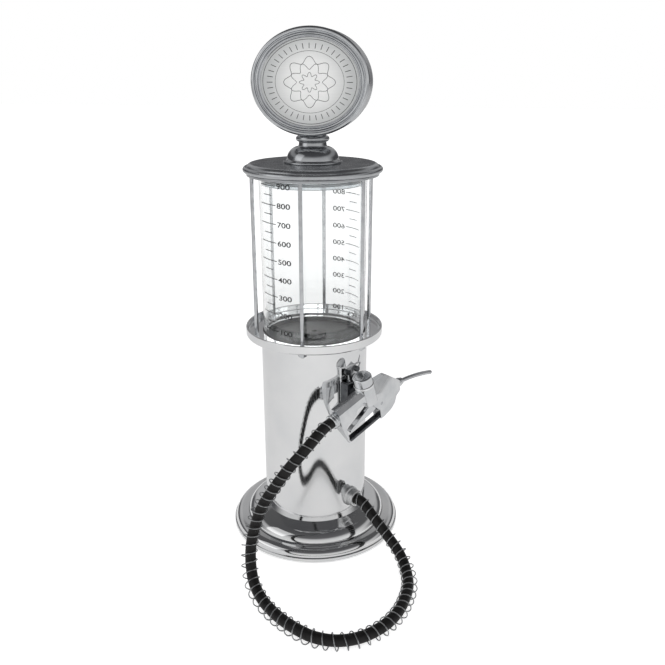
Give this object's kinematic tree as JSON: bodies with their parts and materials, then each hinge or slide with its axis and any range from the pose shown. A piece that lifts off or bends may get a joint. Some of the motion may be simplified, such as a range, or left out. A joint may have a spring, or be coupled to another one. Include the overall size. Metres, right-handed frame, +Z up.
{
  "type": "drink dispenser",
  "caption": "Table-top drink dispenser like an old petrol pump: polished column, clear caged canister, lift-off lid with an oval sign, spring-guarded hose and trigger nozzle.",
  "frame": {"origin": "Middle of the foot pad's underside, on the table, on the column's axis.", "axes": "Z is up along the column's axis, the sign's face looks along -Y, and the hose outlet and holster stand 53 degrees from -Y towards +X."},
  "size_m": [0.1903, 0.2699, 0.461],
  "materials": {
    "polished_chrome": "polished",
    "nozzle_chrome": "polished",
    "satin_grey": "satin",
    "sign_frame": "satin",
    "dial_grey": "brushed",
    "rod_steel": "satin",
    "plain_steel": "plain",
    "dark_steel": "satin",
    "spring_wire": "drawn wire",
    "fitting_brass": "turned",
    "clear_plastic": "clear",
    "tube_plastic": "matt",
    "dark_plastic": "matt",
    "black_rubber": "matt"
  },
  "bodies": {
    "stand": {"foot_pad": "black_rubber", "base_plate": "plain_steel", "base_plate_screws": "plain_steel", "base_posts": "plain_steel", "base_shell": "polished_chrome", "column_flange": "plain_steel", "flange_screws": "plain_steel", "column": "polished_chrome", "seat_ring": "plain_steel", "canister_seat": "dark_plastic", "canister": "clear_plastic", "gallery_ring": "polished_chrome", "cage_rods": "rod_steel", "rod_nuts": "rod_steel", "cage_top_ring": "satin_grey", "drain_fitting": "dark_plastic", "drain_seal": "black_rubber", "drain_nut": "fitting_brass", "feed_tube": "tube_plastic", "outlet_nipple": "fitting_brass", "outlet_nut": "fitting_brass", "outlet_saddle": "dark_plastic", "outlet_collar": "polished_chrome", "holster_plate": "polished_chrome", "holster_fork": "dark_steel", "holster_screws": "dark_steel", "holster_nuts": "plain_steel", "hose": "black_rubber", "hose_spring": "spring_wire"},
    "lid": {"lid": "satin_grey", "lid_plug": "tube_plastic", "lid_seal": "tube_plastic", "neck": "satin_grey", "neck_bolt": "plain_steel", "sign_body": "satin_grey", "sign_bezel_front": "sign_frame", "sign_bezel_back": "sign_frame", "dial_front": "dial_grey", "dial_back": "dial_grey"},
    "nozzle": {"nozzle_body": "nozzle_chrome", "hose_nut": "nozzle_chrome", "trigger_guard": "dark_steel", "valve_cap": "nozzle_chrome", "cap_ring": "polished_chrome", "valve_seat": "fitting_brass", "stem_packing": "black_rubber", "valve_spring": "spring_wire", "spout_nut": "nozzle_chrome", "spout": "rod_steel", "trigger_pin": "rod_steel", "holster_stud": "nozzle_chrome"},
    "trigger": {"trigger": "nozzle_chrome"},
    "valve": {"valve_stem": "fitting_brass"}
  },
  "joints": [
    {"name": "lid_lift", "type": "slide", "parent": "stand", "child": "lid", "axis": [0, 0, 1], "range_m": [0, 0.045]},
    {"name": "nozzle_lift", "type": "slide", "parent": "stand", "child": "nozzle", "axis": [0, 0, 1], "range_m": [0, 0.019], "deforming": ["hose", "hose_spring"]},
    {"name": "trigger_pull", "type": "hinge", "parent": "nozzle", "child": "trigger", "pos_m": [0.06253, -0.03002, 0.14553], "axis": [-0.7986, 0.6018, 0], "range_deg": [0, 12], "stiffness_Nm_per_rad": 0.006, "springref_deg": -22.92},
    {"name": "valve_lift", "type": "slide", "parent": "nozzle", "child": "valve", "axis": [-0.176, -0.2335, 0.9563], "range_m": [0, 0.00209], "deforming": ["valve_spring"]}
  ],
  "couplings": [
    {"joint": "trigger_pull", "follows": "valve_lift", "rad_per_m": 100}
  ]
}
